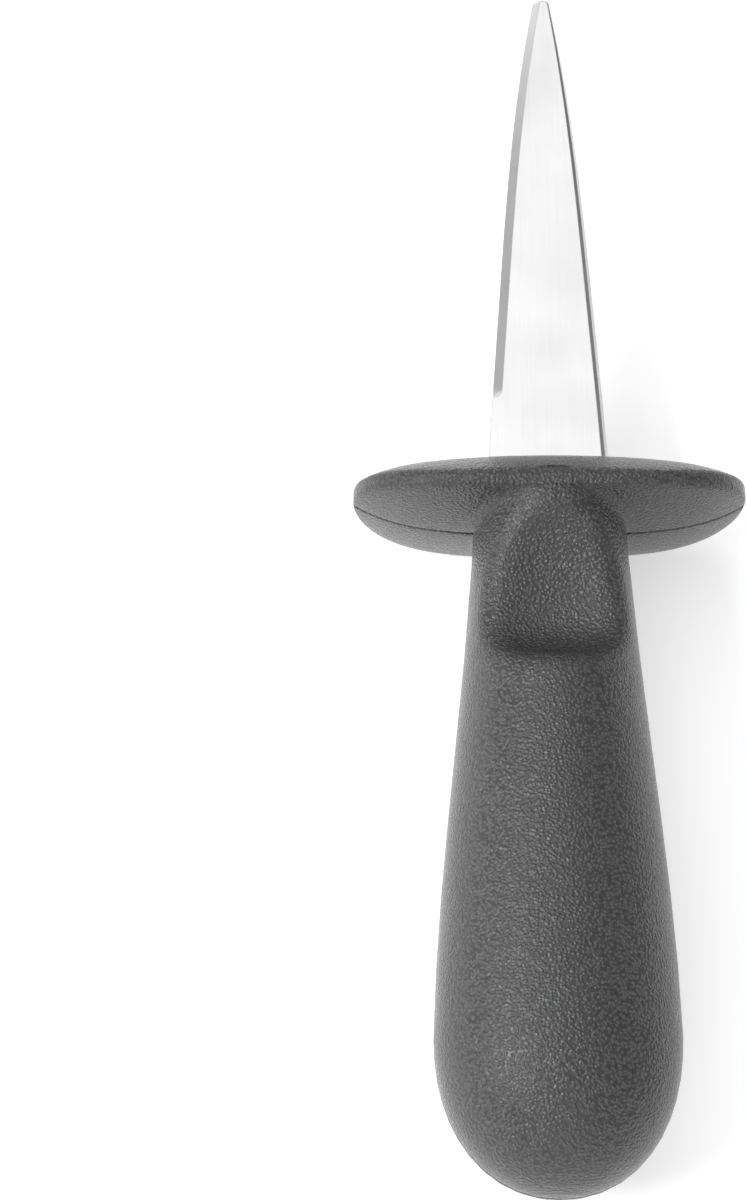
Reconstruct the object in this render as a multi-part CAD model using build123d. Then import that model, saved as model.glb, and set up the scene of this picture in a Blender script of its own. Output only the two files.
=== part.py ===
# Oyster knife: a lancet blade whose tang is closed between two handle mouldings, each with its half
# of the oval guard.
#
# While it is modelled, the guard's rim lies at y = 0, the blade's tip points along +Y, the parting
# plane of the mouldings is z = 0 and the flats of the guard face up and down. At the end the whole
# knife is laid on the ground: the middle of its length is y = 0 and its lowest flat is z = 0.

from build123d import *
import math
import os

# Blade and tang, in millimetres
blade_reach = 71.5
blade_thickness = 2.5
blade_root_width = 16.0
ricasso_width = 14.2
tip_radius = 1.2
bevel_width = 1.2
bevel_start = 14.0
bevel_run_out = 1.7
edge_land = 0.4
spine_radius = 0.9
shoulder_place = 0.8
tang_width = 8.0
tang_reach = 62.0
tang_end_radius = 3.0

# Guard
guard_width = 50.0
guard_height = 29.0
guard_front_rise = 5.3
guard_front_side_fall = 4.5
guard_front_top_fall = 5.9
guard_back_rise = 4.3
guard_back_side_fall = 4.7
guard_back_top_fall = 1.85
rim_bevel = 0.2

# Handle
handle_reach = 88.4
neck_width = 19.0
neck_thickness = 28.2
belly_width = 30.3
belly_thickness = 29.0
belly_place = 69.2

# Thumb rest
rest_foot_place = 18.3
rest_floor_height = 8.2
rest_ramp_radius = 18.7
rest_wall_radius = 5.6
rest_cross_radius = 30.0
rest_lip_radius = 2.6

# Joint of the two mouldings
parting_bevel = 0.3
neck_gap = 0.8
neck_gap_left_run = 7.4
neck_gap_right_run = 2.4
neck_gap_depth = 2.6
peg_diameter = 4.0
peg_places = (12.0, 48.0)
peg_engagement = 5.0
peg_lead = 0.5
hole_clearance = 0.15
pocket_clearance = 0.05

# One overrun serves every cut
overrun = 1.0

# Shares that shape the curves
edge_curve_shares = ((0.29, 0.39), (0.42, 0.68))
tip_bevel_share = 0.8
tip_spine_share = 0.4
guard_flat_share = 0.30
guard_shoulder_share = 0.70
guard_side_share = 0.66
guard_front_shares = ((0.0, 0.0), (0.5, 0.12), (0.8, 0.43), (1.0, 1.0))
guard_back_shares = ((0.0, 0.0), (0.5, 0.09), (0.8, 0.42), (1.0, 1.0))
front_level_shares = (0.0, 0.16, 0.32, 0.48, 0.62, 0.75, 0.88, 1.0)
back_level_shares = (0.0, 0.35, 0.70, 1.0)
oval_control_share = 4 / 3
taper_shares = ((0.33, 0.16), (0.67, 0.90))
taper_station_shares = (0.0, 0.12, 0.30, 0.44, 0.60, 0.74, 0.87, 1.0)
butt_side_share = 0.60
butt_end_share = 0.58
butt_closing_share = 0.985
parallel_share = 0.01

# Counts and angles
butt_strips = 11
ramp_turn = 60
wall_turn = 88


def closed_face(*edges):
    return Face(Wire(edges))


# The blade

def blade_level(height, left_inset, right_inset):
    """The blade's outline at one height, drawn in by the ground bevel on the left and by the
    rounded spine on the right."""
    half_root = blade_root_width / 2
    half_ricasso = ricasso_width / 2
    bevel_full = bevel_start + bevel_run_out
    tip_left = left_inset * tip_bevel_share
    tip_right = right_inset * tip_spine_share
    inner_radius = tip_radius - (tip_left + tip_right) / 2
    tip_middle = (tip_left - tip_right) / 2
    tip_base = blade_reach - tip_radius
    drop = half_ricasso - tip_radius
    run = tip_base - bevel_start

    def edge_point(side, inset, share):
        across, along = share
        return (side * (half_ricasso - across * drop - inset), bevel_start + along * run, height)

    right_root = (half_root - right_inset, shoulder_place, height)
    right_ricasso = (half_ricasso - right_inset, bevel_start, height)
    right_tip = (tip_radius - tip_right, tip_base, height)
    left_tip = (tip_left - tip_radius, tip_base, height)
    left_root = (-half_root, shoulder_place, height)
    left_ricasso = (-half_ricasso, bevel_start, height)
    narrowing = bevel_run_out * edge_curve_shares[0][0] * drop / (edge_curve_shares[0][1] * run)
    left_bevel = (left_inset - half_ricasso + narrowing, bevel_full, height)
    run_out_turn = (left_inset - half_ricasso + narrowing, bevel_start, height)

    first, second = edge_curve_shares
    return closed_face(
        Line(left_root, right_root),
        Line(right_root, right_ricasso),
        Bezier(
            right_ricasso,
            edge_point(1, right_inset, first),
            edge_point(1, right_inset, second),
            right_tip,
        ),
        ThreePointArc(right_tip, (tip_middle, tip_base + inner_radius, height), left_tip),
        Bezier(
            left_tip,
            edge_point(-1, left_inset, second),
            edge_point(-1, left_inset, first),
            left_bevel,
        ),
        Bezier(left_bevel, run_out_turn, left_ricasso),
        Line(left_ricasso, left_root),
    )


def blade_side():
    """The upper half of the blade's thickness, from the edge's narrow land to the flat face."""
    top = blade_thickness / 2
    land = edge_land / 2
    heights = [land]
    heights += [top - spine_radius + spine_radius * math.sin(math.radians(turn)) for turn in (0, 30, 60, 90)]
    levels = []
    for height in heights:
        left_inset = bevel_width * (height - land) / (top - land)
        rise = max(height - (top - spine_radius), 0)
        right_inset = spine_radius - math.sqrt(max(spine_radius**2 - rise**2, 0))
        levels.append(blade_level(height, left_inset, right_inset))
    return loft(levels, ruled=True)


def tang():
    outline = Rectangle(tang_width, tang_reach + shoulder_place + overrun, align=(Align.CENTER, Align.MAX))
    outline = Pos(0, shoulder_place + overrun) * outline
    outline = fillet(outline.vertices().group_by(Axis.Y)[0], tang_end_radius)
    bar = extrude(outline, blade_thickness / 2, both=True)
    holes = [Pos(0, -place) * Cylinder(peg_diameter / 2 + hole_clearance, blade_thickness * 2) for place in peg_places]
    return bar - holes


def make_blade():
    side = blade_side()
    edge = blade_level(-edge_land / 2, 0, 0)
    middle = extrude(edge, edge_land, dir=(0, 0, 1))
    return middle + side + mirror(side, about=Plane.XY) + tang()


# The guard

def guard_outline():
    """The guard seen along the blade: flat on top, with full shoulders and round side tips."""
    half_width = guard_width / 2
    half_flat = guard_flat_share * half_width
    shoulder = guard_shoulder_share * half_width
    upright = guard_side_share * guard_height / 2
    top = guard_height / 2
    place = guard_front_rise + overrun
    return closed_face(
        Bezier((half_width, place, 0), (half_width, place, upright), (shoulder, place, top), (half_flat, place, top)),
        Line((half_flat, place, top), (-half_flat, place, top)),
        Bezier(
            (-half_flat, place, top),
            (-shoulder, place, top),
            (-half_width, place, upright),
            (-half_width, place, 0),
        ),
        Line((-half_width, place, 0), (half_width, place, 0)),
    )


def crowned_block(side, rise, side_fall, top_fall, curve_shares, level_shares, ruled):
    """The room behind the guard's crowned front (side 1) or in front of its crowned back (side -1).
    Each level is one horizontal section, which falls away towards the flats."""
    reach = guard_width / 2 + overrun
    top = guard_height / 2 + overrun
    beyond = -side * (guard_front_rise + guard_back_rise)
    sections = []
    for level in level_shares:
        height = level * top
        lift = rise - top_fall * (height / (guard_height / 2)) ** 2
        points = [(across * reach, side * (lift - fall * side_fall), height) for across, fall in curve_shares]
        mirrored = [(-x, y, z) for x, y, z in reversed(points[1:])]
        crown = Spline(*mirrored, *points)
        far_right = (reach, beyond, height)
        far_left = (-reach, beyond, height)
        sections.append(
            closed_face(crown, Line(crown @ 1, far_right), Line(far_right, far_left), Line(far_left, crown @ 0))
        )
    return loft(sections, ruled=ruled)


def half_guard():
    front = crowned_block(
        1, guard_front_rise, guard_front_side_fall, guard_front_top_fall, guard_front_shares, front_level_shares, True
    )
    back = crowned_block(
        -1, guard_back_rise, guard_back_side_fall, guard_back_top_fall, guard_back_shares, back_level_shares, False
    )
    length = guard_front_rise + guard_back_rise + overrun * 2
    plate = extrude(guard_outline(), length, dir=(0, -1, 0)) & front & back
    return chamfer(rim_edges(plate), rim_bevel)


def rim_edges(plate):
    """The edges in front of the guard's side and behind it, from one tip over the flat to the other."""
    sides = plate.faces().filter_by(lambda face: abs(face.normal_at().Y) < parallel_share)
    sides = sides.filter_by(lambda face: face.bounding_box().max.Z > overrun)
    edges = {edge for face in sides for edge in face.edges()}
    return [edge for edge in edges if (edge @ 0.5).Z > 0 and abs(edge.tangent_at(0.5).Y) < 1 - parallel_share]


# The handle

def half_oval(place, half_width, half_height):
    """A half oval standing on the parting plane; its one curve reaches the half height."""
    control = oval_control_share * half_height
    right = (half_width, place, 0)
    left = (-half_width, place, 0)
    return closed_face(
        Bezier(right, (half_width, place, control), (-half_width, place, control), left),
        Line(left, right),
    )


def handle_half():
    """The pear-shaped grip: a taper from the neck inside the guard to the belly, then the butt."""
    half_neck = neck_width / 2
    half_belly = belly_width / 2
    growth = half_belly - half_neck
    taper_turns = [(half_neck + grown * growth, -along * belly_place) for along, grown in taper_shares]
    butt_depth = handle_reach - belly_place
    taper = Bezier((half_neck, 0), *taper_turns, (half_belly, -belly_place))
    butt = Bezier(
        (half_belly, -belly_place),
        (half_belly, -belly_place - butt_side_share * butt_depth),
        (butt_end_share * half_belly, -handle_reach),
        (0, -handle_reach),
    )
    outline = [taper @ station for station in taper_station_shares]
    outline += [butt @ (butt_closing_share * step / butt_strips) for step in range(1, butt_strips + 1)]
    sections = []
    for point in outline:
        along = min(-point.Y / belly_place, 1)
        thickness = neck_thickness + along * (belly_thickness - neck_thickness)
        if along == 1:
            thickness = belly_thickness * point.X / half_belly
        sections.append(half_oval(point.Y, point.X, thickness / 2))
    return loft(sections, ruled=True)


def thumb_rest_cutter():
    """A turned form laid across the grip: a long ramp from the guard, then a short round wall. Its
    outline is drawn above its axis, so that its seam stays off the grip."""
    axis_height = rest_floor_height + rest_cross_radius
    floor = axis_height + rest_cross_radius

    def on_arc(side, radius, turn):
        swing = math.radians(turn)
        return (0, side * radius * math.sin(swing) - rest_foot_place, floor - radius * (1 - math.cos(swing)))

    foot = (0, -rest_foot_place, floor)
    ramp = ThreePointArc(on_arc(1, rest_ramp_radius, ramp_turn), on_arc(1, rest_ramp_radius, ramp_turn / 2), foot)
    wall = ThreePointArc(foot, on_arc(-1, rest_wall_radius, wall_turn / 2), on_arc(-1, rest_wall_radius, wall_turn))
    ramp_top = ramp @ 0
    wall_top = wall @ 1
    profile = closed_face(
        ramp,
        wall,
        Line(wall_top, (0, wall_top.Y, axis_height)),
        Line((0, wall_top.Y, axis_height), (0, ramp_top.Y, axis_height)),
        Line((0, ramp_top.Y, axis_height), ramp_top),
    )
    return revolve(profile, Axis((0, 0, axis_height), (0, 1, 0)))


def round_rest_lip(body):
    """Rounds the closed rim where the thumb rest meets the grip."""
    cutter_end = rest_foot_place + rest_wall_radius
    rim = []
    for edge in body.edges():
        middle = edge @ 0.5
        on_rest = -cutter_end - overrun < middle.Y < -guard_back_rise and middle.Z > rest_floor_height
        faces_along = [face for face in body.faces() if edge in face.edges()]
        kinds = {face.geom_type for face in faces_along}
        if on_rest and GeomType.TORUS in kinds and GeomType.BSPLINE in kinds:
            rim.append(edge)
    return fillet(rim, rest_lip_radius)


# The joint of the mouldings

def neck_gap_cutter():
    """The thin wedges beside the neck where the two halves of the guard stand off each other."""
    half_neck = neck_width / 2
    back = -guard_back_rise - overrun
    wedges = []
    for side, run in ((-1, neck_gap_left_run), (1, neck_gap_right_run)):
        inner = side * (half_neck - parting_bevel)
        wedge = closed_face(
            Line((inner, back, 0), (side * (half_neck + run), back, 0)),
            Line((side * (half_neck + run), back, 0), (inner, back, neck_gap / 2)),
            Line((inner, back, neck_gap / 2), (inner, back, 0)),
        )
        wedges.append(extrude(wedge, neck_gap_depth + overrun, dir=(0, 1, 0)))
    return wedges


def tang_pocket():
    """The room that one half gives to the blade's root and its tang."""
    depth = blade_thickness / 2
    slope = (blade_root_width - ricasso_width) / 2 / (bevel_start - shoulder_place)
    root = blade_root_width / 2 + pocket_clearance
    front = guard_front_rise + overrun
    narrow = root - slope * (front - shoulder_place)
    mouth = Polyline((-root, shoulder_place), (root, shoulder_place), (narrow, front), (-narrow, front), close=True)
    width = tang_width + 2 * pocket_clearance
    channel = Rectangle(width, tang_reach + shoulder_place, align=(Align.CENTER, Align.MAX))
    channel = Pos(0, shoulder_place) * channel
    channel = fillet(channel.vertices().group_by(Axis.Y)[0], tang_end_radius)
    return extrude(make_face(mouth), depth) + extrude(channel, depth)


def fit_joint(body):
    """Breaks the parting edge of a half and makes room for the blade's root and tang."""
    parting_face = body.faces().sort_by(Axis.Z)[0]
    body = chamfer(parting_face.outer_wire().edges(), parting_bevel)
    body -= neck_gap_cutter()
    return body - tang_pocket()


def make_upper_half(form):
    """The half above the blade has the thumb rest and the pegs."""
    upper = fit_joint(round_rest_lip(form - thumb_rest_cutter()))
    length = blade_thickness + peg_engagement - peg_lead
    pegs = []
    for place in peg_places:
        peg = Cylinder(peg_diameter / 2, length + peg_lead, align=(Align.CENTER, Align.CENTER, Align.MAX))
        peg = chamfer(peg.edges().group_by(Axis.Z)[0], peg_lead)
        pegs.append(Pos(0, -place, blade_thickness / 2) * peg)
    return upper + pegs


def make_lower_half(form):
    """The half below the blade has the sockets."""
    depth = blade_thickness / 2 + peg_engagement
    lower = mirror(fit_joint(form), about=Plane.XY)
    sockets = []
    for place in peg_places:
        socket = Cylinder(
            peg_diameter / 2 + pocket_clearance, depth, align=(Align.CENTER, Align.CENTER, Align.MAX)
        )
        sockets.append(Pos(0, -place, 0) * socket)
    return lower - sockets


def write_parts():
    os.makedirs("parts", exist_ok=True)
    at_rest = Pos(0, (handle_reach - blade_reach) / 2, guard_height / 2)
    form = half_guard() + handle_half()
    parts = {
        "blade": make_blade(),
        "handle_upper_half": make_upper_half(form),
        "handle_lower_half": make_lower_half(form),
    }
    for name, shape in parts.items():
        export_step(at_rest * shape, f"parts/{name}.step")
        print(name, "volume", round(shape.volume), "mm3, solids", len(shape.solids()))


write_parts()
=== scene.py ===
# %% [markdown]
# # An oyster knife on white
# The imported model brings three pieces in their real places: a stainless blade and the two black
# mouldings of its handle. Their shapes are finished, so this lesson is about finishes, light and
# the camera: brushed steel, grained polypropylene, a white table and soft studio light.

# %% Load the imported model
import bpy
import math
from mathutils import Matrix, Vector


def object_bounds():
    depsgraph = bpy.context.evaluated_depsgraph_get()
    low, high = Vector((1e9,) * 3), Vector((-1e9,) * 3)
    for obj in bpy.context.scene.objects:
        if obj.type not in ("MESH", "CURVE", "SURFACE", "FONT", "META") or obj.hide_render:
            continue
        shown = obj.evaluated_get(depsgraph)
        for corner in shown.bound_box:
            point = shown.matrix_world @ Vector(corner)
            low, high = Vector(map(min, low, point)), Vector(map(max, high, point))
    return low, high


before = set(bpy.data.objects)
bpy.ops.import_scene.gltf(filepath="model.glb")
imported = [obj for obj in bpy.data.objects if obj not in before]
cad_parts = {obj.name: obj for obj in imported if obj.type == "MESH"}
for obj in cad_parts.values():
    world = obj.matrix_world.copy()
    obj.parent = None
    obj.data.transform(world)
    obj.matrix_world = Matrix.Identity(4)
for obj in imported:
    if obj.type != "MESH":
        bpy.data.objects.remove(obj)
cad_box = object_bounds()
low, high = Vector(cad_box[0]), Vector(cad_box[1])
middle = (low + high) / 2
knife_length = high.y - low.y
print("nodes:", ", ".join(sorted(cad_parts)), "- length in mm:", round(knife_length * 1000, 1))

# %% [markdown]
# ## Two helpers for every finish
# Colours are written as a painter picks them, as sRGB hex, but a shader works in linear light, so
# one function turns the one into the other. A second function adds a node, sets it up and links
# it in one line, which keeps a material readable from top to bottom. A node group would hide
# those steps, and copying nodes by hand would repeat them.

# %% Colour and node helpers
MM = 0.001
noise_low, noise_high = 0.3, 0.7  # most values of a noise texture lie between these


def linear(hex_code, alpha=1.0):
    """An sRGB hex colour as linear light."""
    channels = [int(hex_code[i:i + 2], 16) / 255 for i in (1, 3, 5)]
    light = [c / 12.92 if c <= 0.04045 else ((c + 0.055) / 1.055) ** 2.4 for c in channels]
    return (*light, alpha)


def add_node(tree, kind, settings=None, inputs=None, links=None):
    """Adds a node; settings are its attributes, inputs its socket values, links what feeds it."""
    node = tree.nodes.new(kind)
    for name, value in (settings or {}).items():
        setattr(node, name, value)
    for name, value in (inputs or {}).items():
        node.inputs[name].default_value = value
    for name, socket in (links or {}).items():
        tree.links.new(socket, node.inputs[name])
    return node


def new_material(name):
    """An empty node material."""
    material = bpy.data.materials.new(name)
    material.use_nodes = True
    material.node_tree.nodes.clear()
    return material


print("linear value of a mid grey:", round(linear("#808080")[0], 3))

# %% [markdown]
# ## Brushed stainless steel
# The blade is ground from stainless strip and then brushed along its length with a fine belt.
# The eye gets a pale grey metal whose highlight is drawn out across the scratches. The scratches
# could be modelled, painted or bumped. A noise that is stretched along the blade and fed to bump
# and tone stays sharp from close by and costs no geometry. The belt also takes the sharpness off
# the ground edges, and a Bevel node gives them that small radius in shading.

# %% The steel of the blade
# A real scratch is a few hundredths of a millimetre wide; these are coarser, so that they show.
scratch_width = 0.12 * MM
scratch_length = 14 * MM
scratch_depth = 0.004 * MM
steel_edge_radius = 0.15 * MM
cloud_size = 9 * MM
steel_roughness_low, steel_roughness_high = 0.26, 0.34


def make_steel():
    """Steel whose scratches run along Y, as the blade does."""
    material = new_material("stainless_steel_belt_brushed")
    tree = material.node_tree
    place = add_node(tree, "ShaderNodeTexCoord")
    along = add_node(
        tree,
        "ShaderNodeMapping",
        inputs={"Scale": (1 / scratch_width, 1 / scratch_length, 1 / scratch_width)},
        links={"Vector": place.outputs["Object"]},
    )
    scratches = add_node(
        tree,
        "ShaderNodeTexNoise",
        inputs={"Scale": 1.0, "Detail": 3.0, "Roughness": 0.6},
        links={"Vector": along.outputs["Vector"]},
    )
    clouds = add_node(
        tree,
        "ShaderNodeTexNoise",
        inputs={"Scale": 1 / cloud_size, "Detail": 2.0},
        links={"Vector": place.outputs["Object"]},
    )
    tone = add_node(
        tree,
        "ShaderNodeMix",
        settings={"data_type": "RGBA"},
        inputs={"A": linear("#c2c2c2"), "B": linear("#cecece")},
        links={"Factor": scratches.outputs["Fac"]},
    )
    worn = add_node(
        tree,
        "ShaderNodeMapRange",
        inputs={
            "From Min": noise_low,
            "From Max": noise_high,
            "To Min": steel_roughness_low,
            "To Max": steel_roughness_high,
        },
        links={"Value": clouds.outputs["Fac"]},
    )
    soft_edges = add_node(
        tree, "ShaderNodeBevel", settings={"samples": 4}, inputs={"Radius": steel_edge_radius}
    )
    bump = add_node(
        tree,
        "ShaderNodeBump",
        inputs={"Strength": 0.5, "Distance": scratch_depth},
        links={"Height": scratches.outputs["Fac"], "Normal": soft_edges.outputs["Normal"]},
    )
    steel = add_node(
        tree,
        "ShaderNodeBsdfPrincipled",
        inputs={"Metallic": 1.0},
        links={
            "Base Color": tone.outputs["Result"],
            "Roughness": worn.outputs["Result"],
            "Normal": bump.outputs["Normal"],
        },
    )
    add_node(tree, "ShaderNodeOutputMaterial", links={"Surface": steel.outputs["BSDF"]})
    return material


steel = make_steel()
print("made", steel.name, "with", len(steel.node_tree.nodes), "nodes")

# %% [markdown]
# ## Grained black polypropylene
# The handle is moulded in black polypropylene, in a mould whose walls were spark eroded. That
# leaves a fine pebble grain, which makes the grip look soft and grey instead of wet and black. The
# base colour is darker in the pits, as painted shade, and paler on the crowns, as painted light.
# The pebbles are the cells of a Voronoi pattern with soft borders, over a finer noise. Displacing
# the mesh would need millions of faces for the same look, so the grain is a bump. A Bevel node
# rounds the corners in shading, as plastic that flows into a mould does. Its radius shrinks towards
# the parting line, where two mouldings meet in a thin seam.

# %% The plastic of the handle
# The real pebbles are about a quarter of a millimetre; these are coarser, so that they show.
pebble_size = 0.38 * MM
pebble_softness = 0.7
speck_size = 0.22 * MM
speck_share = 0.35  # of the grain's height; the pebbles give the rest
pit_distance, crown_distance = 0.62, 0.12  # from a pebble's middle, in pebbles
grain_depth = 0.17 * MM
flow_size = 14 * MM
plastic_roughness_low, plastic_roughness_high = 0.22, 0.28
polypropylene_ior = 1.49
moulded_radius = 3.0 * MM
parting_radius = 0.15 * MM
parting_reach = 2.5 * MM  # above and below the parting line, where the radius grows


def make_plastic():
    """Grained plastic whose corners are softer away from the parting line."""
    material = new_material("polypropylene_spark_grained")
    tree = material.node_tree
    place = add_node(tree, "ShaderNodeTexCoord")
    pebbles = add_node(
        tree,
        "ShaderNodeTexVoronoi",
        settings={"feature": "SMOOTH_F1"},
        inputs={"Scale": 1 / pebble_size, "Smoothness": pebble_softness, "Randomness": 1.0},
        links={"Vector": place.outputs["Object"]},
    )
    specks = add_node(
        tree,
        "ShaderNodeTexNoise",
        inputs={"Scale": 1 / speck_size, "Detail": 2.0, "Roughness": 0.6},
        links={"Vector": place.outputs["Object"]},
    )
    flow = add_node(
        tree,
        "ShaderNodeTexNoise",
        inputs={"Scale": 1 / flow_size, "Detail": 2.0},
        links={"Vector": place.outputs["Object"]},
    )
    crowns = add_node(
        tree,
        "ShaderNodeMapRange",
        inputs={"From Min": pit_distance, "From Max": crown_distance},
        links={"Value": pebbles.outputs["Distance"]},
    )
    height = add_node(
        tree,
        "ShaderNodeMix",
        settings={"data_type": "FLOAT"},
        inputs={0: speck_share},
        links={2: crowns.outputs["Result"], 3: specks.outputs["Fac"]},
    )
    # Painted shade and painted light: the base colour is darker in the pebbles' pits and paler on
    # their crowns, following the same height that drives the bump.
    tone = add_node(
        tree,
        "ShaderNodeMix",
        settings={"data_type": "RGBA"},
        inputs={"A": linear("#2f2f30"), "B": linear("#545455")},
        links={"Factor": height.outputs["Result"]},
    )
    dullness = add_node(
        tree,
        "ShaderNodeMapRange",
        inputs={
            "From Min": noise_low,
            "From Max": noise_high,
            "To Min": plastic_roughness_low,
            "To Max": plastic_roughness_high,
        },
        links={"Value": flow.outputs["Fac"]},
    )
    where = add_node(tree, "ShaderNodeSeparateXYZ", links={"Vector": place.outputs["Object"]})
    above = add_node(
        tree,
        "ShaderNodeMath",
        settings={"operation": "SUBTRACT"},
        inputs={1: middle.z},
        links={0: where.outputs["Z"]},
    )
    from_parting = add_node(
        tree,
        "ShaderNodeMath",
        settings={"operation": "ABSOLUTE"},
        links={0: above.outputs["Value"]},
    )
    radius = add_node(
        tree,
        "ShaderNodeMapRange",
        inputs={
            "From Min": 0.0,
            "From Max": parting_reach,
            "To Min": parting_radius,
            "To Max": moulded_radius,
        },
        links={"Value": from_parting.outputs["Value"]},
    )
    soft_edges = add_node(
        tree, "ShaderNodeBevel", settings={"samples": 8}, links={"Radius": radius.outputs["Result"]}
    )
    bump = add_node(
        tree,
        "ShaderNodeBump",
        inputs={"Strength": 1.0, "Distance": grain_depth},
        links={"Height": height.outputs["Result"], "Normal": soft_edges.outputs["Normal"]},
    )
    plastic = add_node(
        tree,
        "ShaderNodeBsdfPrincipled",
        inputs={"IOR": polypropylene_ior},
        links={
            "Base Color": tone.outputs["Result"],
            "Roughness": dullness.outputs["Result"],
            "Normal": bump.outputs["Normal"],
        },
    )
    add_node(tree, "ShaderNodeOutputMaterial", links={"Surface": plastic.outputs["BSDF"]})
    return material


plastic = make_plastic()
print("made", plastic.name, "with", len(plastic.node_tree.nodes), "nodes")

# %% [markdown]
# ## Dressing the pieces
# Each piece keeps its mesh, because its shape is already the real one. Only the material in its
# slots changes, which is also what a modeller would do with a part from a library.

# %% Give each piece its finish
finishes = {"blade": steel, "handle_upper_half": plastic, "handle_lower_half": plastic}
for name, finish in finishes.items():
    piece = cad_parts[name]
    for slot in piece.material_slots:
        slot.material = finish
    smooth = sum(polygon.use_smooth for polygon in piece.data.polygons)
    print(name, "wears", finish.name, "- faces", len(piece.data.polygons), "smooth", smooth)

# %% [markdown]
# ## The white table
# The photograph stands on pure white and keeps only a soft shadow on the right. A brighter lamp
# would wash the knife out as well, so the table gives a little light of its own, but only to the
# rays that look at it straight, in a reflection or through glass. Light that bounces from the
# table on to the knife sees a plain white surface.

# %% Table
table_size = 6.0
table_glow = 0.5


def make_table():
    """A square white table top at the height on which the knife lies."""
    material = new_material("table_white_matte")
    tree = material.node_tree
    path = add_node(tree, "ShaderNodeLightPath")
    seen = add_node(
        tree,
        "ShaderNodeMath",
        settings={"operation": "ADD"},
        links={0: path.outputs["Is Camera Ray"], 1: path.outputs["Is Glossy Ray"]},
    )
    looked_at = add_node(
        tree,
        "ShaderNodeMath",
        settings={"operation": "ADD", "use_clamp": True},
        links={0: seen.outputs["Value"], 1: path.outputs["Is Transmission Ray"]},
    )
    strength = add_node(
        tree,
        "ShaderNodeMath",
        settings={"operation": "MULTIPLY"},
        inputs={1: table_glow},
        links={0: looked_at.outputs["Value"]},
    )
    matte = add_node(tree, "ShaderNodeBsdfDiffuse", inputs={"Color": linear("#e6e6e6")})
    glow = add_node(tree, "ShaderNodeEmission", links={"Strength": strength.outputs["Value"]})
    both = add_node(
        tree,
        "ShaderNodeAddShader",
        links={0: matte.outputs["BSDF"], 1: glow.outputs["Emission"]},
    )
    add_node(tree, "ShaderNodeOutputMaterial", links={"Surface": both.outputs["Shader"]})

    mesh = bpy.data.meshes.new("table")
    half = table_size / 2
    outline = [(-half, -half), (half, -half), (half, half), (-half, half)]
    mesh.from_pydata([(x, y, low.z) for x, y in outline], [], [(0, 1, 2, 3)])
    mesh.materials.append(material)
    table = bpy.data.objects.new("table", mesh)
    bpy.context.scene.collection.objects.link(table)
    return table


table = make_table()
print("table spans", table_size, "m at height", round(low.z, 4))

# %% [markdown]
# ## Three lamps and a pale room
# The handle is brightest a little left of its middle and darkest on its right flank, its rims
# catch the white table, and the shadow falls to the right. One lamp could do that, but the blade
# also mirrors something broad and white. So a wide ceiling lamp stands where the blade mirrors it,
# a smaller window on the left brings out the grain and casts the shadow, and a weak lamp in front
# opens the thumb rest. The room is grey overhead and paler at its horizon, as a white studio is,
# and that is what the ground bevel of the blade and the round edges of the handle mirror.

# %% Lamps and room
ceiling_size = 0.68
ceiling_distance = 0.75
ceiling_power = 2.35
ceiling_lean_left = math.radians(10)
ceiling_lean_away = math.radians(19)
window_size = 0.34
window_distance = 0.9
window_power = 6.2
window_lean_left = math.radians(44)
window_lean_away = math.radians(-14)  # less than zero is towards the viewer
front_size = 0.8
front_distance = 0.9
front_power = 2.4
front_lean_left = 0
front_lean_away = math.radians(-52)
horizon_light = 0.75
room_light = 0.24
horizon_height = 0.4  # upward share of a direction, from which the room is at its dimmest


def hang_lamp(name, size, distance, power, lean_left, lean_away):
    """A square lamp that faces the knife from overhead, leaning by two angles."""
    light = bpy.data.lights.new(name, "AREA")
    light.shape = "SQUARE"
    light.size = size
    light.energy = power
    lamp = bpy.data.objects.new(name, light)
    towards = Vector((-math.tan(lean_left), math.tan(lean_away), 1)).normalized()
    lamp.location = middle + towards * distance
    lamp.rotation_euler = towards.to_track_quat("Z", "Y").to_euler()
    bpy.context.scene.collection.objects.link(lamp)
    return lamp


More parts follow.
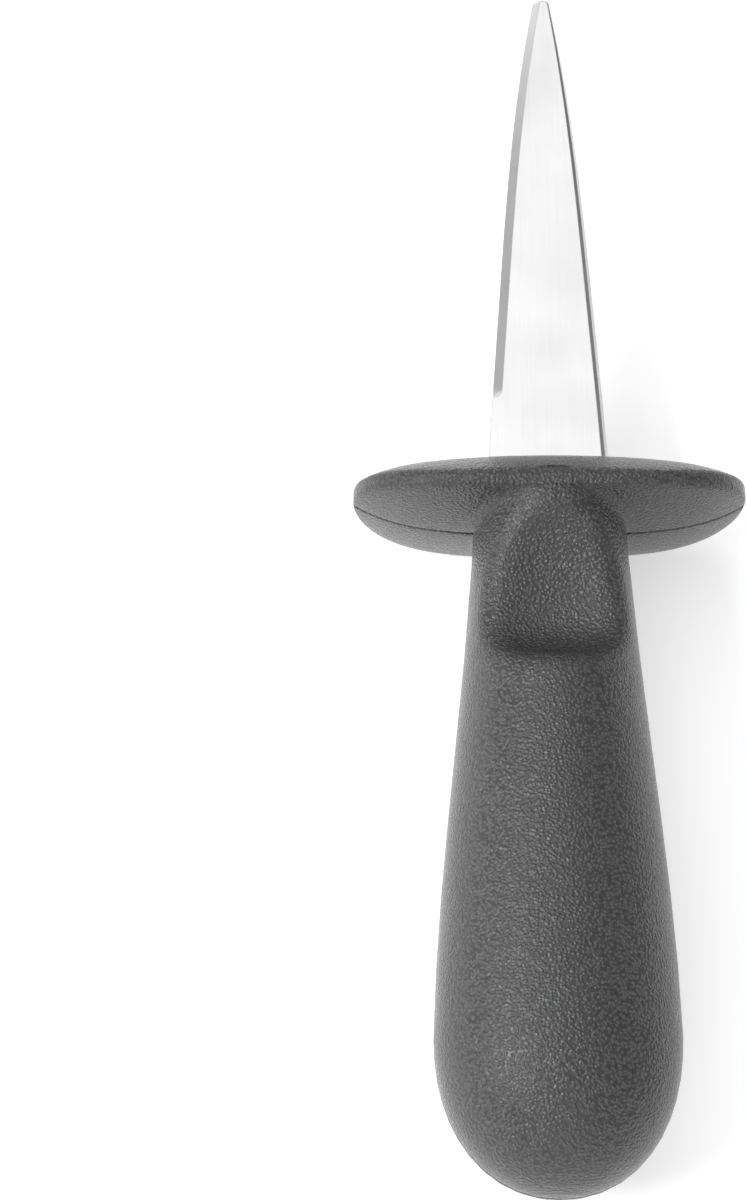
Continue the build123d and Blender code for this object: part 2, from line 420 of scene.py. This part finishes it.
hang_lamp(
    "lamp_ceiling",
    ceiling_size,
    ceiling_distance,
    ceiling_power,
    ceiling_lean_left,
    ceiling_lean_away,
)
hang_lamp(
    "lamp_window", window_size, window_distance, window_power, window_lean_left, window_lean_away
)
hang_lamp("lamp_front", front_size, front_distance, front_power, front_lean_left, front_lean_away)


def light_room():
    """A grey room that is paler towards its horizon."""
    world = bpy.data.worlds.new("room")
    world.use_nodes = True
    tree = world.node_tree
    tree.nodes.clear()
    place = add_node(tree, "ShaderNodeTexCoord")
    direction = add_node(
        tree, "ShaderNodeSeparateXYZ", links={"Vector": place.outputs["Generated"]}
    )
    strength = add_node(
        tree,
        "ShaderNodeMapRange",
        inputs={
            "From Min": 0.0,
            "From Max": horizon_height,
            "To Min": horizon_light,
            "To Max": room_light,
        },
        links={"Value": direction.outputs["Z"]},
    )
    air = add_node(
        tree,
        "ShaderNodeBackground",
        inputs={"Color": linear("#ffffff")},
        links={"Strength": strength.outputs["Result"]},
    )
    add_node(tree, "ShaderNodeOutputWorld", links={"Surface": air.outputs["Background"]})
    bpy.context.scene.world = world


light_room()
print("ceiling", ceiling_power, "W, window", window_power, "W, front", front_power, "W")

# %% [markdown]
# ## The camera
# The knife lies flat, and the guard's back shows below its ridge, so the camera looks down with a
# lean of 18 degrees from the butt's side. The long handle grows a little towards the viewer,
# which sets the distance. The knife stands right of the middle of the picture, as in the
# photograph, because the camera itself stands to the left.

# %% Place the camera
camera_lean = math.radians(18)
camera_distance = 430 * MM
camera_lens = 102
view_centre = Vector((-22.4 * MM, -4.55 * MM, 14.5 * MM))

camera_data = bpy.data.cameras.new("camera")
camera_data.lens = camera_lens
camera_data.clip_start = 0.01
camera = bpy.data.objects.new("camera", camera_data)
away = Vector((0, math.sin(camera_lean), -math.cos(camera_lean)))
camera.location = view_centre - away * camera_distance
camera.rotation_euler = (camera_lean, 0, 0)
bpy.context.scene.collection.objects.link(camera)
bpy.context.scene.camera = camera
print("camera at", [round(value, 3) for value in camera.location])

# %% The colour view transform
bpy.context.scene.view_settings.view_transform = "Standard"
